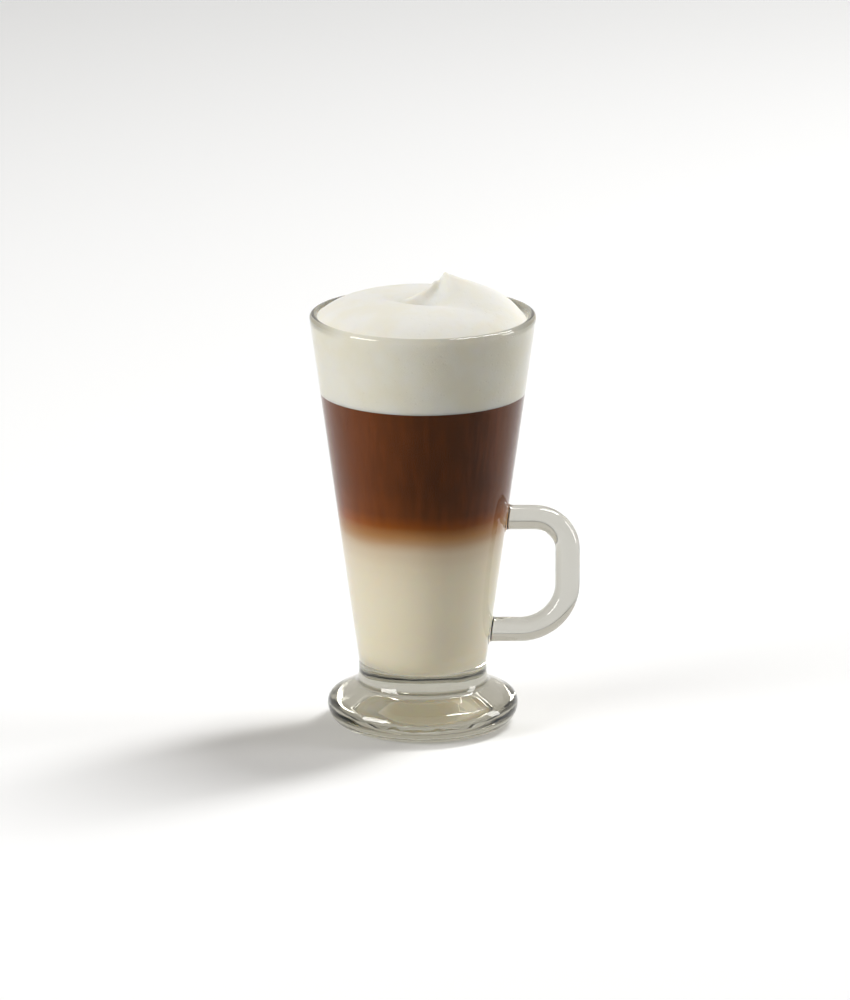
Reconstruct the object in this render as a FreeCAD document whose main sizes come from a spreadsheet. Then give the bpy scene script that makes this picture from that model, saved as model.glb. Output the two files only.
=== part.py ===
"""Glass of cappuccino: a footed glass with a loop handle, filled with layered milk, coffee and foam.

Frame: millimetres, +Z up, the origin where the glass's axis meets the table, the handle towards +X.
"""
import FreeCAD, Part
import math
import os

import Sketcher

SIZES = (
    # glass, outside
    ("glass_height", 146.0, "table to the top of the rim"),
    ("mouth_radius", 39.2, "outside of the rim"),
    ("neck_radius", 22.2, "outside of the upright band above the foot"),
    ("neck_low", 18.5, "underside of the band, where the foot starts"),
    ("band_height", 4.3, "height of the upright band"),
    ("foot_radius", 33.1, "widest part of the foot"),
    ("foot_brow", 9.7, "height of the foot's outer corner before rounding"),
    ("foot_root_out", 0.6, "how far outside the band the foot's slope turns up to it"),
    ("foot_root_drop", 3.5, "how far below the band that turn is"),
    ("foot_root_round", 3.0, "hollow rounding of that turn"),
    ("foot_brow_round", 4.2, "rounding of the foot's upper corner"),
    ("foot_edge_round", 7.0, "rounding of the foot's lower corner"),
    # glass, inside
    ("rim_wall", 2.8, "thickness of the wall at the rim"),
    ("rim_round", 1.3, "rounding of both edges of the rim"),
    ("floor_height", 20.0, "table to the inner floor"),
    ("floor_wall", 3.6, "thickness from the upright band to the inner floor's corner"),
    ("floor_round", 12.0, "rounding of the inner floor's corner"),
    # handle
    ("handle_top", 73.4, "height of the upper arm's centre line"),
    ("handle_low", 33.1, "height of the lower arm's centre line"),
    ("handle_reach", 50.2, "axis to the grip's centre line"),
    ("handle_rod", 8.5, "diameter of the rod"),
    ("handle_bend_top", 11.6, "radius of the upper bend on the centre line"),
    ("handle_bend_low", 16.6, "radius of the lower bend on the centre line"),
    ("joint_round", 1.2, "rounding where the arms meet the wall"),
    # contents
    ("milk_level", 70.5, "table to the top of the milk"),
    ("blend_level", 78.0, "table to the top of the amber layer between milk and coffee"),
    ("coffee_level", 118.3, "table to the top of the coffee"),
    ("foam_below_rim", 0.9, "top of the rim down to the foam's edge on the wall"),
    ("foam_dome", 6.4, "rise of the dome above its edge"),
    ("foam_dome_power", 5.0, "how flat the dome is before its shoulder"),
    ("foam_dip", 3.2, "how much lower the foam's edge lies by the handle"),
    ("foam_dip_turn", 6.0, "direction of that low place, in degrees from +X"),
    ("foam_dip_power", 10.0, "how narrow that low place is"),
    ("peak_x", 7.2, "tip of the pulled peak"),
    ("peak_y", 3.0, "tip of the pulled peak"),
    ("peak_rise", 8.4, "height of the peak above the dome"),
    ("scoop_x", -2.4, "middle of the scooped hollow at the foot of the peak"),
    ("scoop_y", -5.7, "middle of that hollow"),
    ("scoop_turn", -25.0, "direction in which the hollow runs, in degrees from +X"),
    ("scoop_long", 9.0, "half length of the hollow"),
    ("scoop_wide", 2.6, "half width of the hollow"),
    ("scoop_depth", 1.5, "depth of the hollow"),
)

# The pulled peak by direction from its tip: degrees from +X towards +Y, how far its foot reaches,
# and how hollow its flank is (1 is straight).
PEAK_FLANKS = (
    (0, 33.0, 1.7),
    (45, 29.0, 1.75),
    (95, 16.0, 1.9),
    (150, 8.5, 2.0),
    (187, 9.5, 2.2),
    (206, 21.0, 2.4),
    (230, 12.5, 2.5),
    (258, 12.5, 2.3),
    (285, 18.0, 1.7),
    (315, 28.0, 1.75),
)

FLOOR_RADIUS = "(Sizes.neck_radius - Sizes.floor_wall)"
FOAM_EDGE = "(Sizes.glass_height - Sizes.foam_below_rim)"

# The foam's surface is carried by a grid of points, which runs a little past the bowl's inside.
GRID_STEP = 1.5
GRID_MARGIN = 1.0


def make_sheet(doc):
    """The sheet of driving sizes: one row each, with its name, its value and what it is."""
    sheet = doc.addObject("Spreadsheet::Sheet", "Sizes")
    for row, (name, value, meaning) in enumerate(SIZES, start=1):
        sheet.set("A%d" % row, name)
        sheet.set("B%d" % row, str(value))
        sheet.set("C%d" % row, meaning)
        sheet.setAlias("B%d" % row, name)
    doc.recompute()
    return sheet


def origin_plane(body, role):
    """One of the body's own origin planes."""
    for feature in body.Origin.OriginFeatures:
        if feature.Role == role:
            return feature
    raise RuntimeError("no plane " + role)


def new_body(doc, label):
    body = doc.addObject("PartDesign::Body", label)
    body.Label = label
    return body


def new_sketch(body, name, role):
    sketch = body.newObject("Sketcher::SketchObject", name)
    sketch.AttachmentSupport = [(origin_plane(body, role), "")]
    sketch.MapMode = "FlatFace"
    return sketch


def bind(sketch, constraint, expression):
    """Adds a constraint and ties its value to an expression of the sheet."""
    index = sketch.addConstraint(constraint)
    sketch.setExpression("Constraints[%d]" % index, expression)


def bind_point(sketch, sheet, geometry, end, across, up):
    """Ties one point of a sketch to two expressions, measured from the sketch's origin."""
    for kind, expression in (("DistanceX", across), ("DistanceY", up)):
        value = evaluate(sheet, expression)
        if abs(value) < 1e-9:
            axis = -2 if kind == "DistanceX" else -1
            sketch.addConstraint(Sketcher.Constraint("PointOnObject", geometry, end, axis))
        else:
            bind(sketch, Sketcher.Constraint(kind, -1, 1, geometry, end, value), expression)


def evaluate(sheet, expression):
    """The value of an expression that uses the sheet's names."""
    return float(sheet.evalExpression(expression.replace("Sizes.", "")))


def outline(sketch, sheet, corners):
    """A closed outline of straight sides through corners given as pairs of expressions."""
    points = [FreeCAD.Vector(evaluate(sheet, x), evaluate(sheet, z), 0) for x, z in corners]
    count = len(points)
    for index in range(count):
        sketch.addGeometry(Part.LineSegment(points[index], points[(index + 1) % count]), False)
    for index in range(count):
        sketch.addConstraint(Sketcher.Constraint("Coincident", index, 2, (index + 1) % count, 1))
    for index, (x, z) in enumerate(corners):
        bind_point(sketch, sheet, index, 1, x, z)


def revolve(body, sketch, name):
    """Turns an outline all the way round the upright axis."""
    feature = body.newObject("PartDesign::Revolution", name)
    feature.Profile = sketch
    feature.ReferenceAxis = (sketch, ["V_Axis"])
    feature.Angle = 360
    return feature


def ring_edge(shape, radius, height):
    """The name of the full circle of a given radius at a given height."""
    for index, edge in enumerate(shape.Edges, start=1):
        if edge.Degenerated:
            continue
        curve = edge.Curve
        if not isinstance(curve, Part.Circle):
            continue
        if abs(curve.Radius - radius) < 1e-4 and abs(curve.Center.z - height) < 1e-4:
            return "Edge%d" % index
    raise RuntimeError("no edge of radius %.3f at height %.3f" % (radius, height))


def round_edges(doc, body, name, edges, radius_name):
    """Rounds edges of the body's tip with a radius from the sheet."""
    turned = body.Tip
    feature = body.newObject("PartDesign::Fillet", name)
    feature.Base = (turned, edges)
    feature.setExpression("Radius", "Sizes." + radius_name)
    doc.recompute()
    return feature


def outer_radius(height):
    """Expression for the outside radius of the bowl at a height."""
    low = "(Sizes.neck_low + Sizes.band_height)"
    slope = "(Sizes.mouth_radius - Sizes.neck_radius) / (Sizes.glass_height - %s)" % low
    return "(Sizes.neck_radius + (%s - %s) * %s)" % (height, low, slope)


def inner_radius(height):
    """Expression for the inside radius of the bowl at a height."""
    slope = "(Sizes.mouth_radius - Sizes.rim_wall - %s) / (Sizes.glass_height - Sizes.floor_height)"
    return "(%s + (%s - Sizes.floor_height) * %s)" % (FLOOR_RADIUS, height, slope % FLOOR_RADIUS)


def handle_root(height):
    """Expression for where an arm of the handle starts: the middle of the bowl's wall."""
    return "(%s + %s) / 2" % (outer_radius(height), inner_radius(height))


def make_glass(doc, sheet):
    """Bowl, band and foot turned in one piece, with the handle swept on and rounded in."""
    body = new_body(doc, "glass")
    profile = new_sketch(body, "glass_profile", "XZ_Plane")
    corners = (
        ("0", "0"),
        ("Sizes.foot_radius", "0"),
        ("Sizes.foot_radius", "Sizes.foot_brow"),
        ("Sizes.neck_radius + Sizes.foot_root_out", "Sizes.neck_low - Sizes.foot_root_drop"),
        ("Sizes.neck_radius", "Sizes.neck_low"),
        ("Sizes.neck_radius", "Sizes.neck_low + Sizes.band_height"),
        ("Sizes.mouth_radius", "Sizes.glass_height"),
        ("Sizes.mouth_radius - Sizes.rim_wall", "Sizes.glass_height"),
        (FLOOR_RADIUS, "Sizes.floor_height"),
        ("0", "Sizes.floor_height"),
    )
    outline(profile, sheet, corners)
    revolve(body, profile, "glass_turned")
    doc.recompute()
    for corner, name, radius_name in (
        (1, "foot_edge", "foot_edge_round"),
        (2, "foot_brow", "foot_brow_round"),
        (3, "foot_root", "foot_root_round"),
        (6, "rim_outside", "rim_round"),
        (7, "rim_inside", "rim_round"),
        (8, "floor_corner", "floor_round"),
    ):
        across, up = (evaluate(sheet, text) for text in corners[corner])
        edge = ring_edge(body.Tip.Shape, across, up)
        round_edges(doc, body, name + "_rounding", [edge], radius_name)
    add_handle(doc, sheet, body)
    return body


def handle_path(body, sheet):
    """Centre line of the handle: upper arm, bend, upright grip, wider bend and lower arm."""
    path = new_sketch(body, "handle_path", "XZ_Plane")
    top_root = handle_root("Sizes.handle_top")
    low_root = handle_root("Sizes.handle_low")
    top_centre = "Sizes.handle_reach - Sizes.handle_bend_top"
    low_centre = "Sizes.handle_reach - Sizes.handle_bend_low"
    reach, top, low, top_bend, low_bend = (evaluate(sheet, "Sizes.handle_" + name) for name in (
        "reach", "top", "low", "bend_top", "bend_low"))
    top_start = FreeCAD.Vector(evaluate(sheet, top_root), top, 0)
    low_start = FreeCAD.Vector(evaluate(sheet, low_root), low, 0)
    first = FreeCAD.Vector(reach - top_bend, top - top_bend, 0)
    second = FreeCAD.Vector(reach - low_bend, low + low_bend, 0)
    above, below = FreeCAD.Vector(0, top_bend, 0), FreeCAD.Vector(0, -low_bend, 0)
    grip_top, grip_low = FreeCAD.Vector(reach, first.y, 0), FreeCAD.Vector(reach, second.y, 0)
    normal = FreeCAD.Vector(0, 0, 1)
    path.addGeometry(Part.LineSegment(top_start, first + above), False)
    path.addGeometry(Part.ArcOfCircle(Part.Circle(first, normal, top_bend), 0, math.pi / 2), False)
    path.addGeometry(Part.LineSegment(grip_top, grip_low), False)
    path.addGeometry(Part.ArcOfCircle(Part.Circle(second, normal, low_bend), -math.pi / 2, 0), False)
    path.addGeometry(Part.LineSegment(second + below, low_start), False)
    for one, one_end, other, other_end in ((0, 2, 1, 2), (1, 1, 2, 1), (2, 2, 3, 2), (3, 1, 4, 1)):
        path.addConstraint(Sketcher.Constraint("Tangent", one, one_end, other, other_end))
    path.addConstraint(Sketcher.Constraint("Horizontal", 0))
    path.addConstraint(Sketcher.Constraint("Horizontal", 4))
    bind_point(path, sheet, 0, 1, top_root, "Sizes.handle_top")
    bind_point(path, sheet, 4, 2, low_root, "Sizes.handle_low")
    for arc, centre, bend in (
        (1, top_centre, "Sizes.handle_bend_top"),
        (3, low_centre, "Sizes.handle_bend_low"),
    ):
        bind(path, Sketcher.Constraint("Radius", arc, evaluate(sheet, bend)), bend)
        bind(path, Sketcher.Constraint("DistanceX", -1, 1, arc, 3, evaluate(sheet, centre)), centre)
    return path


def add_handle(doc, sheet, body):
    """A round rod swept along the path, from wall to wall, with both joints rounded."""
    path = handle_path(body, sheet)
    section = new_sketch(body, "handle_section", "YZ_Plane")
    section.setExpression(".AttachmentOffset.Base.z", handle_root("Sizes.handle_top"))
    half = evaluate(sheet, "Sizes.handle_rod") / 2
    centre = FreeCAD.Vector(0, evaluate(sheet, "Sizes.handle_top"), 0)
    section.addGeometry(Part.Circle(centre, FreeCAD.Vector(0, 0, 1), half), False)
    bind(section, Sketcher.Constraint("Radius", 0, half), "Sizes.handle_rod / 2")
    bind_point(section, sheet, 0, 3, "0", "Sizes.handle_top")
    doc.recompute()
    pipe = body.newObject("PartDesign::AdditivePipe", "handle")
    pipe.Profile = section
    pipe.Spine = (path, ["Edge%d" % index for index in range(1, 6)])
    doc.recompute()
    round_edges(doc, body, "handle_joint_rounding", joint_edges(sheet, body.Tip.Shape), "joint_round")


def joint_edges(sheet, shape):
    """The names of the edges where the handle's two arms meet the outside of the bowl."""
    rod = evaluate(sheet, "Sizes.handle_rod")
    names = []
    for height_name in ("handle_top", "handle_low"):
        height = evaluate(sheet, "Sizes." + height_name)
        wall = evaluate(sheet, outer_radius("Sizes." + height_name))
        for index, edge in enumerate(shape.Edges, start=1):
            box = edge.BoundBox
            near_wall = abs(box.XMin - wall) < rod / 4 and abs(box.XMax - wall) < rod / 4
            near_arm = box.ZMin > height - rod * 0.6 and box.ZMax < height + rod * 0.6
            if near_wall and near_arm:
                names.append("Edge%d" % index)
    return names


def make_milk(doc, sheet):
    """The milk in the bowl's rounded bottom, up to the amber layer."""
    body = new_body(doc, "milk")
    profile = new_sketch(body, "milk_profile", "XZ_Plane")
    corners = (
        ("0", "Sizes.floor_height"),
        (FLOOR_RADIUS, "Sizes.floor_height"),
        (inner_radius("Sizes.milk_level"), "Sizes.milk_level"),
        ("0", "Sizes.milk_level"),
    )
    outline(profile, sheet, corners)
    revolve(body, profile, "milk_turned")
    doc.recompute()
    across, up = (evaluate(sheet, text) for text in corners[1])
    edge = ring_edge(body.Tip.Shape, across, up)
    round_edges(doc, body, "milk_bottom_rounding", [edge], "floor_round")
    return body


def make_layer(doc, label, low, high):
    """A flat layer of drink between two heights, as wide as the bowl inside."""
    cone = doc.addObject("Part::Cone", label)
    cone.Label = label
    cone.setExpression("Radius1", inner_radius(low))
    cone.setExpression("Radius2", inner_radius(high))
    cone.setExpression("Height", "%s - %s" % (high, low))
    cone.setExpression(".Placement.Base.z", low)
    return cone


def peak_flank(degrees):
    """Reach and hollowness of the peak's flank in a direction, on a smooth curve through the table."""
    count = len(PEAK_FLANKS)
    turned = degrees % 360
    index = max(place for place in range(count) if PEAK_FLANKS[place][0] <= turned)
    around = [PEAK_FLANKS[(index + step) % count] for step in (-1, 0, 1, 2)]
    start = around[1][0]
    end = around[2][0] if index + 1 < count else around[2][0] + 360
    share = (turned - start) / (end - start)
    reach, power = (smooth([row[column] for row in around], share) for column in (1, 2))
    return reach, power


def smooth(values, share):
    """A cubic between the two middle values that keeps the slope of their neighbours."""
    before, low, high, after = values
    slope_low, slope_high = (high - before) / 2, (after - low) / 2
    square, cube = share ** 2, share ** 3
    return (low * (2 * cube - 3 * square + 1) + slope_low * (cube - 2 * square + share)
            + high * (3 * square - 2 * cube) + slope_high * (cube - square))


def turned_by(degrees, x, y):
    """A point seen in axes that are turned by an angle."""
    turn = math.radians(degrees)
    return x * math.cos(turn) + y * math.sin(turn), y * math.cos(turn) - x * math.sin(turn)


def foam_height(size, x, y):
    """Height of the foam at a point: a flat dome, low by the handle, a pulled peak and its hollow."""
    edge_radius = size("foam_edge_radius")
    share = math.hypot(x, y) / edge_radius
    height = size("foam_edge") + size("foam_dome") * (1 - share ** size("foam_dome_power"))
    towards_dip = turned_by(size("foam_dip_turn"), x, y)[0] / edge_radius
    height -= size("foam_dip") * max(0.0, towards_dip) ** size("foam_dip_power")
    across, along = x - size("peak_x"), y - size("peak_y")
    distance = math.hypot(across, along)
    direction = math.degrees(math.atan2(along, across))
    reach, power = peak_flank(direction)
    height += size("peak_rise") * max(0.0, 1 - distance / reach) ** power
    along, across = turned_by(size("scoop_turn"), x - size("scoop_x"), y - size("scoop_y"))
    scoop = math.hypot(along / size("scoop_long"), across / size("scoop_wide"))
    return height - size("scoop_depth") * math.exp(-scoop ** 2)


def make_foam_top(doc, sheet):
    """A block whose top is the foam's swirled surface and whose sides stand outside the bowl."""
    values = {name: evaluate(sheet, "Sizes." + name) for name, _, _ in SIZES}
    values["foam_edge"] = evaluate(sheet, FOAM_EDGE)
    values["foam_edge_radius"] = evaluate(sheet, inner_radius(FOAM_EDGE))
    half = values["foam_edge_radius"] + GRID_MARGIN
    steps = int(round(2 * half / GRID_STEP))
    places = [-half + 2 * half * index / steps for index in range(steps + 1)]
    rows = [[FreeCAD.Vector(x, y, foam_height(values.get, x, y)) for y in places] for x in places]
    surface = Part.BSplineSurface()
    surface.interpolate(rows)
    depth = values["glass_height"] - values["coffee_level"] + values["peak_rise"] + values["foam_dome"]
    block = surface.toShape().extrude(FreeCAD.Vector(0, 0, -2 * depth))
    feature = doc.addObject("Part::Feature", "foam_surface_block")
    feature.Shape = block
    return feature


def make_foam(doc, sheet):
    """The foam: the bowl's inside above the coffee, closed on top by the swirled surface."""
    column = doc.addObject("Part::Cone", "foam_column")
    top = "(%s + Sizes.foam_dome + 2 * Sizes.peak_rise)" % FOAM_EDGE
    column.setExpression("Radius1", inner_radius("Sizes.coffee_level"))
    column.setExpression("Radius2", inner_radius(top))
    column.setExpression("Height", "%s - Sizes.coffee_level" % top)
    column.setExpression(".Placement.Base.z", "Sizes.coffee_level")
    common = doc.addObject("Part::Common", "foam")
    common.Label = "foam"
    common.Base = column
    common.Tool = make_foam_top(doc, sheet)
    return common


def check_document(doc, pieces):
    """Stops on any failed object, and on a sub-part whose shape isn't one valid solid."""
    for item in doc.Objects:
        if "Invalid" in item.State or "Error" in item.State:
            raise RuntimeError("%s failed: %s" % (item.Name, item.State))
    for piece in pieces:
        shape = piece.Shape
        if shape.isNull() or not shape.isValid() or len(shape.Solids) != 1:
            raise RuntimeError("%s is not one valid solid" % piece.Label)


def main():
    doc = FreeCAD.newDocument("cappuccino")
    sheet = make_sheet(doc)
    pieces = [
        make_glass(doc, sheet),
        make_milk(doc, sheet),
        make_layer(doc, "amber_layer", "Sizes.milk_level", "Sizes.blend_level"),
        make_layer(doc, "coffee", "Sizes.blend_level", "Sizes.coffee_level"),
        make_foam(doc, sheet),
    ]
    doc.recompute()
    check_document(doc, pieces)
    os.makedirs("parts", exist_ok=True)
    for piece in pieces:
        piece.Shape.exportStep("parts/%s.step" % piece.Label)
        print("%-12s %9.0f mm3  z %6.2f to %6.2f" % (
            piece.Label, piece.Shape.Volume, piece.Shape.BoundBox.ZMin, piece.Shape.BoundBox.ZMax))


main()
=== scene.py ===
import math

import bpy
from bpy.props import FloatProperty, FloatVectorProperty, IntProperty, PointerProperty
from mathutils import Matrix, Vector


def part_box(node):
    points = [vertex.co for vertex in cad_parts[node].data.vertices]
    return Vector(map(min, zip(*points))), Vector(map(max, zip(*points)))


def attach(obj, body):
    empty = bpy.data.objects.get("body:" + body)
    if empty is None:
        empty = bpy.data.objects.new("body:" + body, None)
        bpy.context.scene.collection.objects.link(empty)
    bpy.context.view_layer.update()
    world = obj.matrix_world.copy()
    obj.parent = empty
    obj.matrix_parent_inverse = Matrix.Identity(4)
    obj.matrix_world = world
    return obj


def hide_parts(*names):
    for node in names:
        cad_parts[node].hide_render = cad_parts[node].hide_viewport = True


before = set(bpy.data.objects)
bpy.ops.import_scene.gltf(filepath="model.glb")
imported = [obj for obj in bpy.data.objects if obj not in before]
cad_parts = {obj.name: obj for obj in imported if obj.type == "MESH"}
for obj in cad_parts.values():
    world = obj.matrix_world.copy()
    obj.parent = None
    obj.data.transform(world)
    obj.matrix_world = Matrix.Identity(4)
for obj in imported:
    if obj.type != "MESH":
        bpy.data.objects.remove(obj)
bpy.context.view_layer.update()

bl_info = {
    "name": "Glass of Cappuccino",
    "version": (1, 0, 0),
    "blender": (4, 5, 0),
    "location": "3D View > Sidebar > Cappuccino",
    "description": "A footed glass with a loop handle, filled with milk, coffee and a swirl of foam",
    "category": "Object",
}

GLASS_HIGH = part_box("glass")[1]
FOAM_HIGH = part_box("foam")[1]
COFFEE_LOW, COFFEE_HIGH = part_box("coffee")
MILK_LOW, MILK_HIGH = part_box("milk")
MM = 0.001

# Meshes: how far apart points may lie, how near they are merged, and the slack when they are picked by place
WALL_SPAN = 1.6 * MM
DRINK_SPAN = 2.0 * MM
FOAM_TOP_SPAN = 0.4 * MM
HANDLE_SPAN = 0.8 * MM
HANDLE_ROOT_SPAN = 0.2 * MM
WELD = 0.002 * MM
SLACK = 0.05 * MM

# Glass
GLASS_IOR = 1.5
GLASS_DENSITY = 13.0
WALL_GLOSS = 0.15
FULL_GLOSS = 1.0
LAMP_THROUGH_WALL = (0.94, 0.94, 0.925, 1.0)
LAMP_THROUGH_FOOT = (0.42, 0.42, 0.41, 1.0)

# Room and table
ROOM_SHADE = (1.0, 0.97, 0.90, 1.0)
ROOM_SEEN = 0.79
ROOM_LIGHT = 0.06
TABLE_WHITE = (0.92, 0.92, 0.92, 1.0)
TABLE_GLOW = 0.08
GATHERED_GLOW = 0.5


# Sizes and colours

def length(name, description, default):
    return FloatProperty(name=name, description=description, default=default, min=0.0, precision=5,
                         unit="LENGTH", subtype="DISTANCE")


def colour(name, description, default):
    return FloatVectorProperty(name=name, description=description, default=default, size=3, min=0.0, max=1.0,
                               subtype="COLOR")


class GlassSizes(bpy.types.PropertyGroup):
    """Sizes of the glass."""
    height: length("Height", "Table to the top of the rim", GLASS_HIGH[2])
    mouth_radius: length("Mouth radius", "Outside of the rim before it is rounded", 39.2 * MM)
    neck_radius: length("Neck radius", "Outside of the upright band above the foot", 22.2 * MM)
    neck_low: length("Neck height", "Underside of the upright band", 18.5 * MM)
    band_height: length("Band height", "Height of the upright band", 4.3 * MM)
    foot_radius: length("Foot radius", "Widest part of the foot", 33.1 * MM)
    foot_brow: length("Foot brow", "Height of the foot's outer corner before it is rounded", 9.7 * MM)
    foot_root_out: length("Foot root, out", "How far outside the band the foot's slope turns up", 0.6 * MM)
    foot_root_drop: length("Foot root, drop", "How far below the band that turn is", 3.5 * MM)
    foot_root_round: length("Foot root rounding", "Hollow rounding of that turn", 3.0 * MM)
    foot_brow_round: length("Foot brow rounding", "Rounding of the foot's upper corner", 4.2 * MM)
    foot_edge_round: length("Foot edge rounding", "Rounding of the foot's lower corner", 7.0 * MM)
    foot_hollow: length("Foot hollow", "Depth of the shallow hollow under the foot", 3.0 * MM)
    foot_ring: length("Foot ring", "Radius at which the hollow meets the standing ring", 24.0 * MM)
    rim_wall: length("Rim wall", "Thickness of the wall at the rim", 2.8 * MM)
    rim_round: length("Rim rounding", "Rounding of both edges of the rim", 1.35 * MM)
    floor_height: length("Floor height", "Table to the inner floor", MILK_LOW[2])
    floor_wall: length("Floor wall", "Thickness from the band to the inner floor's corner", 3.6 * MM)
    floor_round: length("Floor rounding", "Rounding of the inner floor's corner", 12.0 * MM)
    steps: IntProperty(name="Steps round", description="Facets round the axis", default=224, min=32, max=512)


class HandleSizes(bpy.types.PropertyGroup):
    """Sizes of the loop handle."""
    top: length("Upper arm", "Height of the upper arm's centre line", 73.4 * MM)
    low: length("Lower arm", "Height of the lower arm's centre line", 33.1 * MM)
    rod: length("Rod", "Diameter of the rod", 8.5 * MM)
    reach: length("Reach", "Axis to the grip's centre line", GLASS_HIGH[0] - 4.25 * MM)
    top_bend: length("Upper bend", "Radius of the upper bend on the centre line", 11.6 * MM)
    low_bend: length("Lower bend", "Radius of the lower bend on the centre line", 16.6 * MM)
    flare: length("Flare", "Rounding where the arms meet the wall", 1.2 * MM)


class DrinkSizes(bpy.types.PropertyGroup):
    """Sizes of what fills the glass."""
    milk_level: length("Milk", "Top of the milk", MILK_HIGH[2])
    blend_level: length("Blend", "Top of the amber layer", COFFEE_LOW[2])
    coffee_level: length("Coffee", "Top of the coffee", COFFEE_HIGH[2])
    foam_edge: length("Foam edge", "Height of the foam where it meets the wall", GLASS_HIGH[2] - 0.9 * MM)
    seat: length("Seat", "How far the drink reaches into the wall, so that no air shows", 0.15 * MM)


class Finishes(bpy.types.PropertyGroup):
    """Colours of the glass and of what fills it."""
    glass: colour("Glass", "Tint of the glass surface", (0.57, 0.56, 0.518))
    # Painted shade: this dark colour is laid on the back of the rim, standing in for the dark ring that the
    # rim shows there.
    rim: colour("Rim", "Tint of the glass at the rim", (0.16, 0.152, 0.122))
    glass_depth: colour("Glass, depth", "What a deep path leaves of white light", (0.64, 0.63, 0.54))
    coffee: colour("Coffee", "Body of the coffee", (0.063, 0.0175, 0.0042))
    amber: colour("Amber", "The band where the coffee thins out", (0.19, 0.050, 0.006))
    milk: colour("Milk", "Milk at the bottom", (0.82, 0.765, 0.63))
    foam: colour("Foam", "Milk foam", (0.755, 0.742, 0.69))


# Shader maths

class Term:
    """A number that varies over a surface: a socket that adds Math nodes when it is used in a sum."""

    def __init__(self, recipe, socket):
        self.recipe = recipe
        self.socket = socket

    def join(self, operation, *values):
        return self.recipe.node("ShaderNodeMath", {"operation": operation}, dict(enumerate(values)))

    def __add__(self, other):
        return self.join("ADD", self, other)

    __radd__ = __add__

    def __sub__(self, other):
        return self.join("SUBTRACT", self, other)

    def __rsub__(self, other):
        return self.join("SUBTRACT", other, self)

    def __mul__(self, other):
        return self.join("MULTIPLY", self, other)

    __rmul__ = __mul__

    def __truediv__(self, other):
        return self.join("DIVIDE", self, other)

    def __pow__(self, other):
        return self.join("POWER", self, other)

    def or_more(self, other):
        return self.join("MAXIMUM", self, other)

    def clamped(self, low, high):
        """0 at low, 1 at high, eased between."""
        return self.recipe.node("ShaderNodeMapRange", {"interpolation_type": "SMOOTHSTEP"},
                                {0: self, 1: low, 2: high, 3: 0.0, 4: 1.0})


class Recipe:
    """Builds the nodes of one material or of the world."""

    def __init__(self, owner, output_kind="ShaderNodeOutputMaterial"):
        self.owner = owner
        owner.use_nodes = True
        self.tree = owner.node_tree
        self.tree.nodes.clear()
        self.node(output_kind)
        self.output = self.tree.nodes[0]

    def node(self, kind, settings=None, inputs=None, output=0):
        """Adds a node: its settings first, then the values or links of its sockets."""
        made = self.tree.nodes.new(kind)
        for key, value in (settings or {}).items():
            if key == "stops":
                self.set_stops(made.color_ramp, value)
            else:
                setattr(made, key, value)
        for key, value in (inputs or {}).items():
            socket = made.inputs[key]
            if isinstance(value, Term):
                self.tree.links.new(value.socket, socket)
            else:
                socket.default_value = value
        return Term(self, made.outputs[output]) if made.outputs else None

    @staticmethod
    def set_stops(ramp, stops):
        while len(ramp.elements) < len(stops):
            ramp.elements.new(1.0)
        for element, (place, shade) in zip(ramp.elements, stops):
            element.position = place
            element.color = opaque(shade)

    def place(self):
        """The point on the piece, in millimetres."""
        point = self.node("ShaderNodeTexCoord", output="Object")
        return self.node("ShaderNodeVectorMath", {"operation": "SCALE"}, {0: point, "Scale": 1.0 / MM})

    def parts(self, vector):
        """The three numbers of a vector."""
        first = self.node("ShaderNodeSeparateXYZ", {}, {0: vector})
        return [Term(self, socket) for socket in first.socket.node.outputs]

    def noise(self, vector, scale, detail=2.0, roughness=0.5):
        return self.node("ShaderNodeTexNoise", {}, {"Vector": vector, "Scale": scale, "Detail": detail,
                                                    "Roughness": roughness})

    def mix(self, factor, low, high):
        """One colour turning into another."""
        return self.node("ShaderNodeMix", {"data_type": "RGBA"}, {0: factor, 6: low, 7: high}, output=2)

    def ray(self, *kinds):
        """1 where the surface is met by one of these kinds of ray."""
        total = self.node("ShaderNodeLightPath", output=f"Is {kinds[0]} Ray")
        for kind in kinds[1:]:
            total = total.or_more(self.node("ShaderNodeLightPath", output=f"Is {kind} Ray"))
        return total

    def finish(self, surface, volume=None):
        self.tree.links.new(surface.socket, self.output.inputs["Surface"])
        if volume is not None:
            self.tree.links.new(volume.socket, self.output.inputs["Volume"])
        return self.owner


def opaque(shade):
    return (*shade, 1.0)


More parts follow.
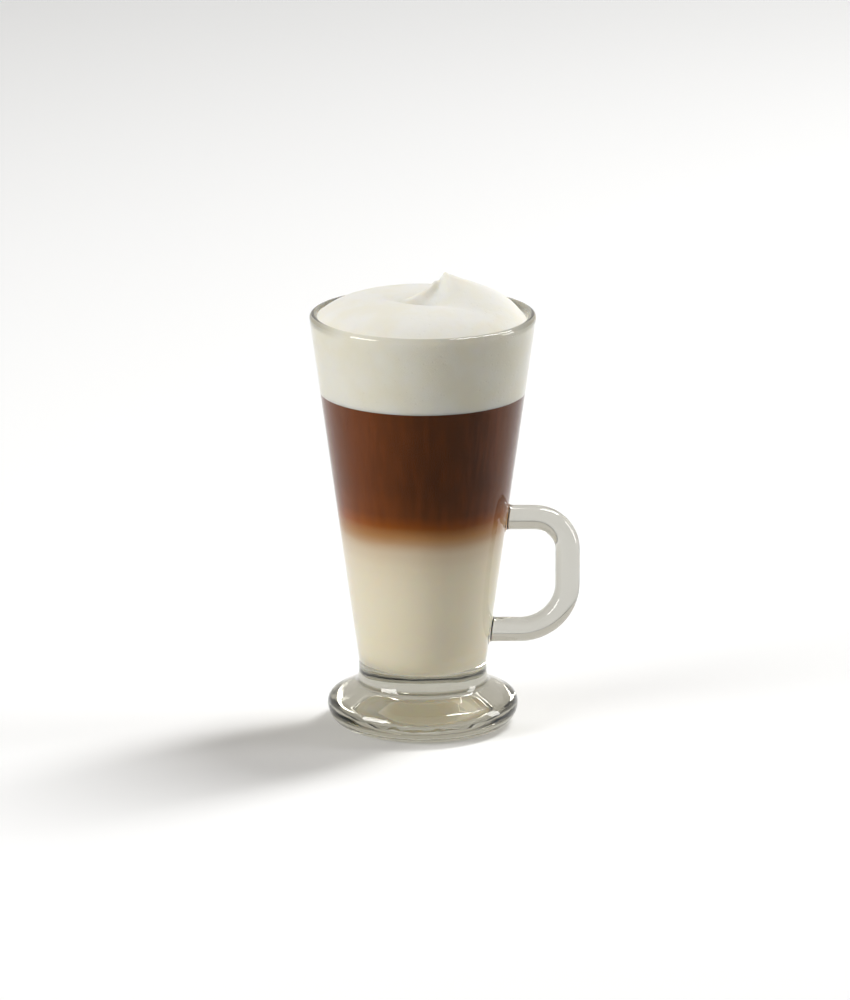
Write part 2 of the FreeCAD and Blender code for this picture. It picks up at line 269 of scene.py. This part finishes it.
def make_glass_finish(sizes, finishes):
    """Clear pressed glass, faintly wavy. Lamps and scattered light pass it straight and light the drink."""
    recipe = Recipe(bpy.data.materials.new("clear glass"))
    place = recipe.place()
    across, along, height = recipe.parts(place)
    wave = recipe.noise(place, 0.11, 2.0)
    normal = recipe.node("ShaderNodeBump", {}, {"Strength": 0.12, "Distance": 1.0 * MM, "Height": wave})

    top = sizes.height / MM
    # Painted shade: the back of the rim is coloured dark, standing in for the dark ring that the rim shows;
    # elsewhere the glass keeps its own tint.
    rim = height.clamped(top - 3.4, top - 1.6)
    rear_shade_mask = along.clamped(-32.0, -12.0)
    tint_and_rim_shade = recipe.mix(rim * rear_shade_mask, opaque(finishes.glass), opaque(finishes.rim))

    def clear(gloss):
        return recipe.node("ShaderNodeBsdfPrincipled", {}, {
            "Base Color": tint_and_rim_shade,
            "Roughness": 0.0,
            "IOR": GLASS_IOR,
            "Specular Tint": (gloss, gloss, gloss, 1.0),
            "Transmission Weight": 1.0,
            "Normal": normal,
        })

    outside = (across * across + along * along) ** 0.5 - outer_radius(sizes, height * MM) / MM
    foot, handle = height.clamped(24.5, 22.0), outside.clamped(0.3, 0.8)
    shiny = foot.or_more(rim).or_more(handle)
    glass = recipe.node("ShaderNodeMixShader", {}, {0: shiny, 1: clear(WALL_GLOSS), 2: clear(FULL_GLOSS)})
    through = recipe.node("ShaderNodeBsdfTransparent", {}, {"Color": LAMP_THROUGH_WALL})
    shaded = recipe.node("ShaderNodeBsdfTransparent", {}, {"Color": LAMP_THROUGH_FOOT})
    foot_shade = height.clamped(24.0, 17.0)
    shadow = recipe.node("ShaderNodeMixShader", {}, {0: foot_shade, 1: through, 2: shaded})
    lit = recipe.node("ShaderNodeMixShader", {}, {0: recipe.ray("Diffuse"), 1: glass, 2: through})
    surface = recipe.node("ShaderNodeMixShader", {}, {0: recipe.ray("Shadow"), 1: lit, 2: shadow})
    depth = recipe.node("ShaderNodeVolumeAbsorption", {}, {
        "Color": opaque(finishes.glass_depth), "Density": GLASS_DENSITY})
    return recipe.finish(surface, depth)


def drink_colour(recipe, finishes):
    """Coffee above, an amber band where it thins out, and milk below, by height on the piece; the coffee is
    painted paler towards its left and right sides, standing in for light that passes through it there.
    """
    point = recipe.place()
    across, _, height = recipe.parts(point)
    round_axis = recipe.node("ShaderNodeVectorMath", {"operation": "MULTIPLY"},
                             {0: point, 1: (1.0, 1.0, 0.25)})
    wave = (recipe.noise(round_axis, 0.05, 1.0) - 0.5) * 2.2
    level = height + wave
    low, high = 46.0, 92.0
    coffee, amber, milk = finishes.coffee, finishes.amber, finishes.milk

    def blend(one, other, share):
        return tuple(a + (b - a) * share for a, b in zip(one, other))

    tan = (0.42, 0.215, 0.085)
    stops = (
        (46.0, milk),
        (56.0, blend(milk, tan, 0.06)),
        (62.0, blend(milk, tan, 0.16)),
        (67.0, blend(milk, tan, 0.40)),
        (69.3, blend(milk, tan, 0.62)),
        (71.0, blend(milk, tan, 0.86)),
        (73.0, blend(tan, amber, 0.10)),
        (74.8, blend(tan, amber, 0.55)),
        (76.8, amber),
        (78.6, blend(amber, coffee, 0.45)),
        (81.0, blend(amber, coffee, 0.85)),
        (90.0, coffee),
    )
    share = (level - low) / (high - low)
    places = [((z - low) / (high - low), shade) for z, shade in stops]
    ramp = recipe.node("ShaderNodeValToRGB", {"stops": places}, {0: share})
    streak_place = recipe.node("ShaderNodeVectorMath", {"operation": "MULTIPLY"},
                               {0: point, 1: (1.0, 1.0, 0.02)})
    streak = recipe.noise(streak_place, 0.5, 4.0, 0.65)
    # Painted light: the coffee is made paler towards its left and right sides, standing in for light that
    # passes through it there; faint vertical streaks are made paler too.
    left_painted_light, right_painted_light = across.clamped(4.0, -24.0), across.clamped(17.0, 27.0)
    painted_side_light = left_painted_light * 0.75 + right_painted_light * 0.6
    in_coffee = height.clamped(72.0, 84.0)
    strength = (streak.clamped(0.38, 0.68) * 0.34 + painted_side_light) * in_coffee
    paler_for_streaks_and_side_light = recipe.node("ShaderNodeVectorMath", {"operation": "SCALE"}, {0: ramp, "Scale": 2.5})
    return recipe.mix(strength, ramp, paler_for_streaks_and_side_light), height


def make_coffee_finish(finishes):
    """Coffee and the amber layer: one matt body behind the glass."""
    recipe = Recipe(bpy.data.materials.new("coffee"))
    shade, _ = drink_colour(recipe, finishes)
    surface = recipe.node("ShaderNodeBsdfPrincipled", {}, {
        "Base Color": shade, "Roughness": 0.6, "Specular IOR Level": 0.0})
    return recipe.finish(surface)


def make_milk_finish(finishes):
    """Milk lets light soak in, and its top blends like the coffee above it."""
    recipe = Recipe(bpy.data.materials.new("milk"))
    shade, height = drink_colour(recipe, finishes)
    soft = recipe.node("ShaderNodeBsdfPrincipled", {}, {
        "Base Color": shade, "Roughness": 0.6, "Specular IOR Level": 0.0,
        "Subsurface Weight": 1.0, "Subsurface Radius": (1.0, 0.8, 0.5), "Subsurface Scale": 0.006})
    plain = recipe.node("ShaderNodeBsdfPrincipled", {}, {
        "Base Color": shade, "Roughness": 0.6, "Specular IOR Level": 0.0})
    surface = recipe.node("ShaderNodeMixShader", {}, {0: height.clamped(61.0, 69.0), 1: soft, 2: plain})
    return recipe.finish(surface)


def make_foam_finish(finishes):
    """Fine milk foam: matt, faintly grained, with a few burst bubbles."""
    recipe = Recipe(bpy.data.materials.new("milk foam"))
    point = recipe.place()
    cloud = recipe.noise(point, 0.09, 3.0)
    foam = finishes.foam
    warm = (foam[0] * 0.985, foam[1] * 0.965, foam[2] * 0.90)
    shade = recipe.mix(cloud.clamped(0.35, 0.7), opaque(foam), opaque(warm))
    grain = recipe.noise(point, 2.6, 3.0, 0.6)
    lumps = recipe.noise(point, 0.33, 2.0)
    cells = recipe.node("ShaderNodeTexVoronoi", {"feature": "F1"}, {"Vector": point, "Scale": 0.42})
    pits = 1 - cells.clamped(0.10, 0.22)
    relief = grain * 0.05 + lumps * 0.22 - pits * 0.10
    normal = recipe.node("ShaderNodeBump", {}, {"Strength": 0.55, "Distance": 1.0 * MM, "Height": relief})
    surface = recipe.node("ShaderNodeBsdfPrincipled", {}, {
        "Base Color": shade, "Roughness": 0.72, "Specular IOR Level": 0.25, "Normal": normal,
        "Subsurface Weight": 0.7, "Subsurface Radius": (1.0, 0.85, 0.6), "Subsurface Scale": 0.005})
    return recipe.finish(surface)


# Modelling

def clear_selection():
    if bpy.context.object is not None and bpy.context.object.mode != "OBJECT":
        bpy.ops.object.mode_set(mode="OBJECT")
    bpy.ops.object.select_all(action="DESELECT")


def rounded(corners, steps=10):
    """The points of an outline whose corners, given as (across, up, radius), are rounded by arcs."""
    points = []
    last = len(corners) - 1
    for index, (across, up, radius) in enumerate(corners):
        here = Vector((across, up))
        if radius == 0.0 or index in (0, last):
            points.append(here)
            continue
        back = (Vector(corners[index - 1][:2]) - here).normalized()
        ahead = (Vector(corners[index + 1][:2]) - here).normalized()
        half = back.angle(ahead) / 2
        centre = here + (back + ahead).normalized() * (radius / math.sin(half))
        start = here + back * (radius / math.tan(half)) - centre
        turn = start.angle_signed(here + ahead * (radius / math.tan(half)) - centre)
        count = max(3, int(steps * abs(turn) / (math.pi / 2)))
        for step in range(count + 1):
            swing = Matrix.Rotation(-turn * step / count, 2)
            points.append(centre + swing @ start)
    return points


def divided(points, span):
    """The same outline with its long sides divided, so that no side is longer than span."""
    result = [points[0]]
    for here in points[1:]:
        start = result[-1]
        count = max(1, math.ceil((here - start).length / span))
        result.extend(start.lerp(here, step / count) for step in range(1, count + 1))
    return result


def close_mesh():
    """Merges the points that meet, turns the faces outwards and leaves edit mode."""
    bpy.ops.mesh.select_all(action="SELECT")
    bpy.ops.mesh.remove_doubles(threshold=WELD)
    bpy.ops.mesh.normals_make_consistent(inside=False)
    bpy.ops.object.mode_set(mode="OBJECT")


def spin_outline(name, points, steps):
    """Draws an outline in the XZ plane vertex by vertex and spins it into a closed shape."""
    clear_selection()
    bpy.ops.mesh.primitive_plane_add(size=MM, location=(points[0].x, 0.0, points[0].y))
    made = bpy.context.object
    made.name = name
    bpy.ops.object.transform_apply(location=True, rotation=True, scale=True)
    bpy.ops.object.mode_set(mode="EDIT")
    bpy.ops.mesh.select_all(action="SELECT")
    bpy.ops.mesh.merge(type="CENTER")
    for start, end in zip(points, points[1:]):
        step = end - start
        bpy.ops.mesh.extrude_vertices_move(TRANSFORM_OT_translate={"value": (step.x, 0.0, step.y)})
    bpy.ops.mesh.select_all(action="SELECT")
    bpy.ops.mesh.spin(steps=steps, angle=2 * math.pi, center=(0, 0, 0), axis=(0, 0, 1))
    close_mesh()
    return made


def outer_radius(sizes, height):
    low = sizes.neck_low + sizes.band_height
    rise = (height - low) / (sizes.height - low)
    return sizes.neck_radius + (sizes.mouth_radius - sizes.neck_radius) * rise


def inner_radius(sizes, height):
    floor = sizes.neck_radius - sizes.floor_wall
    rise = (height - sizes.floor_height) / (sizes.height - sizes.floor_height)
    return floor + (sizes.mouth_radius - sizes.rim_wall - floor) * rise


def make_bowl(sizes):
    """Foot, band, bowl and rounded rim, spun in one piece."""
    foot_root = sizes.neck_radius + sizes.foot_root_out
    corners = (
        (0.0, sizes.foot_hollow, 0.0),
        (sizes.foot_ring * 0.45, sizes.foot_hollow * 0.85, 8.0 * MM),
        (sizes.foot_ring, 0.0, 1.2 * MM),
        (sizes.foot_radius, 0.0, sizes.foot_edge_round),
        (sizes.foot_radius, sizes.foot_brow, sizes.foot_brow_round),
        (foot_root, sizes.neck_low - sizes.foot_root_drop, sizes.foot_root_round),
        (sizes.neck_radius, sizes.neck_low, 0.25 * MM),
        (sizes.neck_radius, sizes.neck_low + sizes.band_height, 0.4 * MM),
        (sizes.mouth_radius, sizes.height, sizes.rim_round),
        (sizes.mouth_radius - sizes.rim_wall, sizes.height, sizes.rim_round),
        (sizes.neck_radius - sizes.floor_wall, sizes.floor_height, sizes.floor_round),
        (0.0, sizes.floor_height, 0.0),
    )
    return spin_outline("bowl", divided(rounded(corners), WALL_SPAN), sizes.steps)


def make_handle(sizes, glass):
    """A rod run from the wall round both bends and back, with its ends flared on to the wall."""
    top_centre = Vector((sizes.reach - sizes.top_bend, 0.0, sizes.top - sizes.top_bend))
    low_centre = Vector((sizes.reach - sizes.low_bend, 0.0, sizes.low + sizes.low_bend))
    sunk = 1.5 * MM
    top_root = outer_radius(glass, sizes.top) - sunk
    low_root = outer_radius(glass, sizes.low) - sunk
    clear_selection()
    bpy.ops.mesh.primitive_circle_add(vertices=56, radius=sizes.rod / 2, fill_type="NGON",
                                      location=(top_root, 0.0, sizes.top), rotation=(0.0, math.pi / 2, 0.0))
    made = bpy.context.object
    made.name = "handle"
    bpy.ops.object.transform_apply(location=True, rotation=True, scale=True)
    bpy.ops.object.mode_set(mode="EDIT")
    bpy.ops.mesh.select_all(action="SELECT")

    def run(move, span):
        count = max(1, math.ceil(move.length / span))
        for _ in range(count):
            bpy.ops.mesh.extrude_region_move(TRANSFORM_OT_translate={"value": tuple(move / count)})

    def bend(centre):
        bpy.ops.mesh.spin(steps=28, angle=math.pi / 2, center=tuple(centre), axis=(0, -1, 0))

    root = Vector((4.2 * MM, 0.0, 0.0))
    run(root, HANDLE_ROOT_SPAN)
    run(Vector((top_centre.x - top_root, 0.0, 0.0)) - root, HANDLE_SPAN)
    bend(top_centre)
    run(Vector((0.0, 0.0, low_centre.z - top_centre.z)), HANDLE_SPAN)
    bend(low_centre)
    run(Vector((low_root - low_centre.x, 0.0, 0.0)) + root, HANDLE_SPAN)
    run(-root, HANDLE_ROOT_SPAN)
    close_mesh()
    flare_ends(made, sizes, glass)
    return made


def flare_ends(made, sizes, glass):
    """Spreads the rod's rings close to the wall, so that it runs into the wall in a small hollow curve."""
    widest = sizes.flare * 0.94
    for vertex in made.data.vertices:
        place = vertex.co
        for height in (sizes.top, sizes.low):
            near_wall = place.x < outer_radius(glass, height) + 2.5 * sizes.flare
            if not near_wall or abs(place.z - height) > sizes.rod:
                continue
            gap = math.hypot(place.x, place.y) - outer_radius(glass, place.z)
            if gap >= sizes.flare:
                continue
            rise = sizes.flare - max(gap, 0.0)
            spread = sizes.flare - math.sqrt(max(0.0, sizes.flare ** 2 - rise ** 2))
            grow = 1 + min(spread, widest) / (sizes.rod / 2)
            place.y *= grow
            place.z = height + (place.z - height) * grow


def join_solids(base, tool):
    """One closed solid from two that overlap."""
    clear_selection()
    bpy.context.view_layer.objects.active = base
    base.select_set(True)
    union = base.modifiers.new("union", "BOOLEAN")
    union.operation = "UNION"
    union.solver = "EXACT"
    union.object = tool
    bpy.ops.object.modifier_apply(modifier=union.name)
    bpy.data.objects.remove(tool, do_unlink=True)


def smooth(made, angle):
    clear_selection()
    bpy.context.view_layer.objects.active = made
    made.select_set(True)
    bpy.ops.object.shade_smooth_by_angle(angle=angle, keep_sharp_edges=False)


def dress(made, material, slot, *nodes):
    """Gives a piece its finish, hangs it under the root body and hides the parts it stands for."""
    made.data.materials.clear()
    made.data.materials.append(material)
    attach(made, "root")
    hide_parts(*nodes)


class CAPPUCCINO_OT_glass(bpy.types.Operator):
    """Model the glass with its handle"""
    bl_idname = "cappuccino.glass"
    bl_label = "Glass"

    def execute(self, context):
        sizes = context.scene.cappuccino_glass
        bowl = make_bowl(sizes)
        handle = make_handle(context.scene.cappuccino_handle, sizes)
        join_solids(bowl, handle)
        bowl.name = "footed_glass"
        smooth(bowl, math.radians(35))
        dress(bowl, make_glass_finish(sizes, context.scene.cappuccino_finishes), "glass", "glass")
        return {"FINISHED"}


def layer_outline(glass, seat, low, high):
    """Outline of a layer of drink that reaches just into the wall."""
    return [Vector((0.0, low)), Vector((inner_radius(glass, low) + seat, low)),
            Vector((inner_radius(glass, high) + seat, high)), Vector((0.0, high))]


class CAPPUCCINO_OT_drink(bpy.types.Operator):
    """Fill the glass with milk, the amber layer and coffee"""
    bl_idname = "cappuccino.drink"
    bl_label = "Drink"

    def execute(self, context):
        glass = context.scene.cappuccino_glass
        drink = context.scene.cappuccino_drink
        finishes = context.scene.cappuccino_finishes
        seat, steps = drink.seat, glass.steps
        floor = glass.floor_height - seat
        bottom = (
            (0.0, floor, 0.0),
            (inner_radius(glass, floor) + seat, floor, glass.floor_round),
            (inner_radius(glass, drink.milk_level) + seat, drink.milk_level, 0.0),
            (0.0, drink.milk_level, 0.0),
        )
        milk = spin_outline("milk", divided(rounded(bottom, steps=24), DRINK_SPAN), steps)
        coffee_finish = make_coffee_finish(finishes)
        amber_points = layer_outline(glass, seat, drink.milk_level, drink.blend_level)
        amber = spin_outline("amber_layer", divided(amber_points, DRINK_SPAN), steps)
        coffee_points = layer_outline(glass, seat, drink.blend_level, drink.coffee_level)
        coffee = spin_outline("coffee", divided(coffee_points, DRINK_SPAN), steps)
        for piece, finish, slot in (
            (milk, make_milk_finish(finishes), "milk"),
            (amber, coffee_finish, "amber_layer"),
            (coffee, coffee_finish, "coffee"),
        ):
            smooth(piece, math.radians(50))
            dress(piece, finish, slot, slot)
            piece.name = "layer_of_" + slot
        return {"FINISHED"}


class CAPPUCCINO_OT_foam(bpy.types.Operator):
    """Lay the foam on the coffee and pull up its peak"""
    bl_idname = "cappuccino.foam"
    bl_label = "Foam"

    def execute(self, context):
        glass = context.scene.cappuccino_glass
        drink = context.scene.cappuccino_drink
        low, edge, seat = drink.coffee_level, drink.foam_edge, drink.seat
        lip = inner_radius(glass, edge) - 0.5 * MM
        outline = [Vector((0.0, low)), Vector((inner_radius(glass, low) + seat, low)),
                   Vector((inner_radius(glass, edge) + seat, edge)), Vector((lip, edge))]
        outline = divided(outline, DRINK_SPAN)
        outline += divided([outline[-1], Vector((0.0, edge))], FOAM_TOP_SPAN)[1:]
        foam = spin_outline("swirl_of_foam", outline, glass.steps)
        top = foam.vertex_groups.new(name="top")
        flat = [vertex.index for vertex in foam.data.vertices
                if vertex.co.z > edge - SLACK and vertex.co.xy.length < lip + SLACK]
        top.add(flat, 1.0, "REPLACE")
        self.lower_edge(foam, glass, drink, lip)
        self.draw_up(foam, top)
        self.fold(foam)
        smooth(foam, math.radians(60))
        dress(foam, make_foam_finish(context.scene.cappuccino_finishes), "foam", "foam")
        return {"FINISHED"}

    @staticmethod
    def lower_edge(foam, glass, drink, lip):
        """Brings the side down with the solid's edge, which is lower by the handle."""
        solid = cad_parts["foam"]
        low, edge = drink.coffee_level, drink.foam_edge
        above = FOAM_HIGH[2] + 1.0 * MM
        for vertex in foam.data.vertices:
            place = vertex.co
            if place.z < low + 1.0 * MM or place.xy.length < lip - SLACK:
                continue
            around = place.xy.normalized() * (lip - 0.1 * MM)
            hit, top, _, _ = solid.ray_cast((around.x, around.y, above), (0.0, 0.0, -1.0))
            if not hit:
                raise RuntimeError("The foam has no edge here.")
            place.z = low + (place.z - low) * (min(top.z, edge) - low) / (edge - low)
            if place.xy.length > lip + SLACK:
                place.xy = place.xy.normalized() * (inner_radius(glass, place.z) + drink.seat)

    @staticmethod
    def draw_up(foam, top):
        """Shapes the flat top to the swirl of the solid it stands for, and evens it out."""
        bpy.context.view_layer.objects.active = foam
        wrap = foam.modifiers.new("wrap", "SHRINKWRAP")
        wrap.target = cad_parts["foam"]
        wrap.wrap_method = "PROJECT"
        wrap.use_project_z = True
        wrap.use_positive_direction = True
        wrap.use_negative_direction = True
        wrap.vertex_group = top.name
        bpy.ops.object.modifier_apply(modifier=wrap.name)
        even = foam.modifiers.new("even", "SMOOTH")
        even.factor = 0.5
        even.iterations = 5
        even.vertex_group = top.name
        bpy.ops.object.modifier_apply(modifier=even.name)

    @staticmethod
    def fold(foam):
        """Deepens the fold at the foot of the peak, steep on the near side and gentle on the far side."""
        turn = Matrix.Rotation(math.radians(22), 2)
        middle, depth = Vector((-4.4, -5.9)), 1.1 * MM
        reach, near_side, far_side = 5.2, 0.8, 3.2
        for vertex in foam.data.vertices:
            if vertex.co.z < GLASS_HIGH[2] - 1.0 * MM:
                continue
            along, across = turn @ (vertex.co.xy / MM - middle)
            slope = near_side if across < 0 else far_side
            vertex.co.z -= depth * math.exp(-(along / reach) ** 2 - (across / slope) ** 2)


# Stage

def area_lamp(name, place, target, size, watts):
    lamp = bpy.data.lights.new(name, "AREA")
    lamp.shape = "RECTANGLE"
    lamp.size, lamp.size_y = size
    lamp.energy = watts
    made = bpy.data.objects.new(name, lamp)
    made.location = place
    made.rotation_euler = (Vector(target) - Vector(place)).to_track_quat("-Z", "Y").to_euler()
    bpy.context.scene.collection.objects.link(made)


def make_floor_finish():
    """A white table: matt, with a faint glow, and brighter where the foot gathers light on it."""
    recipe = Recipe(bpy.data.materials.new("white table"))
    matt = recipe.node("ShaderNodeBsdfDiffuse", {}, {"Color": TABLE_WHITE})
    across, along, _ = recipe.parts(recipe.place())
    under = ((across * across + along * along) ** 0.5).clamped(34.0, 26.0)

    def glowing(strength):
        glow = recipe.node("ShaderNodeEmission", {}, {"Color": ROOM_SHADE, "Strength": strength})
        return recipe.node("ShaderNodeAddShader", {}, {0: matt, 1: glow})

    seen = recipe.ray("Camera", "Glossy", "Transmission")
    plain = recipe.node("ShaderNodeMixShader", {}, {0: seen, 1: matt, 2: glowing(TABLE_GLOW)})
    gathered = recipe.ray("Transmission", "Diffuse") * under
    surface = recipe.node("ShaderNodeMixShader", {}, {0: gathered, 1: plain, 2: glowing(GATHERED_GLOW)})
    return recipe.finish(surface)


def make_studio():
    """A pale room. It is seen, also in the glass, but adds little light of its own."""
    recipe = Recipe(bpy.data.worlds.new("studio"), "ShaderNodeOutputWorld")
    seen = recipe.ray("Camera", "Glossy", "Transmission")
    room = recipe.node("ShaderNodeBackground", {}, {
        "Color": ROOM_SHADE, "Strength": seen * ROOM_SEEN + ROOM_LIGHT})
    return recipe.finish(room)


def polar(target, azimuth, elevation, distance):
    """A place seen from the target at an azimuth, from +X towards +Y, and an elevation."""
    turn, rise = math.radians(azimuth), math.radians(elevation)
    away = Vector((math.cos(turn) * math.cos(rise), math.sin(turn) * math.cos(rise), math.sin(rise)))
    return Vector(target) + away * distance


class CAPPUCCINO_OT_stage(bpy.types.Operator):
    """Set the table, the lamps and the camera"""
    bl_idname = "cappuccino.stage"
    bl_label = "Stage"

    def execute(self, context):
        scene = context.scene
        clear_selection()
        bpy.ops.mesh.primitive_plane_add(size=12.0, location=(0.0, 0.0, -0.1 * MM))
        floor = context.object
        floor.name = "table"
        floor.data.materials.append(make_floor_finish())
        middle = (0.0, 0.0, scene.cappuccino_glass.height * 0.6)
        key = polar(middle, azimuth=38, elevation=57, distance=2.2)
        left = polar(middle, azimuth=208, elevation=14, distance=1.8)
        right = polar(middle, azimuth=7, elevation=14, distance=1.8)
        area_lamp("key", key, middle, size=(0.35, 1.4), watts=41.0)
        area_lamp("left", left, middle, size=(1.0, 0.9), watts=31.0)
        area_lamp("right", right, middle, size=(0.5, 1.1), watts=14.0)
        scene.world = make_studio()
        self.add_camera(scene)
        scene.view_settings.view_transform = "Standard"
        return {"FINISHED"}

    @staticmethod
    def add_camera(scene):
        target = Vector((0.77 * MM, 0.0, scene.cappuccino_glass.height * 0.5445))
        camera = bpy.data.cameras.new("camera")
        camera.lens = 270.5
        made = bpy.data.objects.new("camera", camera)
        made.location = polar(target, azimuth=-90, elevation=15, distance=2.6)
        made.rotation_euler = (target - made.location).to_track_quat("-Z", "Y").to_euler()
        scene.collection.objects.link(made)
        bpy.context.scene.camera = made


class CAPPUCCINO_PT_panel(bpy.types.Panel):
    """Lists the pieces in the sidebar"""
    bl_label = "Cappuccino"
    bl_idname = "CAPPUCCINO_PT_panel"
    bl_space_type = "VIEW_3D"
    bl_region_type = "UI"
    bl_category = "Cappuccino"

    def draw(self, context):
        layout = self.layout
        for operator in OPERATORS:
            layout.operator(operator.bl_idname)
        for group in GROUPS:
            box = layout.box()
            box.label(text=group.__doc__)
            values = getattr(context.scene, GROUPS[group])
            for name in group.__annotations__:
                box.prop(values, name)


GROUPS = {
    GlassSizes: "cappuccino_glass",
    HandleSizes: "cappuccino_handle",
    DrinkSizes: "cappuccino_drink",
    Finishes: "cappuccino_finishes",
}
OPERATORS = (CAPPUCCINO_OT_glass, CAPPUCCINO_OT_drink, CAPPUCCINO_OT_foam, CAPPUCCINO_OT_stage)


def register():
    for group, name in GROUPS.items():
        bpy.utils.register_class(group)
        setattr(bpy.types.Scene, name, PointerProperty(type=group))
    for operator in OPERATORS:
        bpy.utils.register_class(operator)
    bpy.utils.register_class(CAPPUCCINO_PT_panel)


def unregister():
    bpy.utils.unregister_class(CAPPUCCINO_PT_panel)
    for operator in reversed(OPERATORS):
        bpy.utils.unregister_class(operator)
    for group, name in GROUPS.items():
        delattr(bpy.types.Scene, name)
        bpy.utils.unregister_class(group)


def main():
    register()
    bpy.ops.cappuccino.glass()
    bpy.ops.cappuccino.drink()
    bpy.ops.cappuccino.foam()
    bpy.ops.cappuccino.stage()


if __name__ == "__main__":
    main()
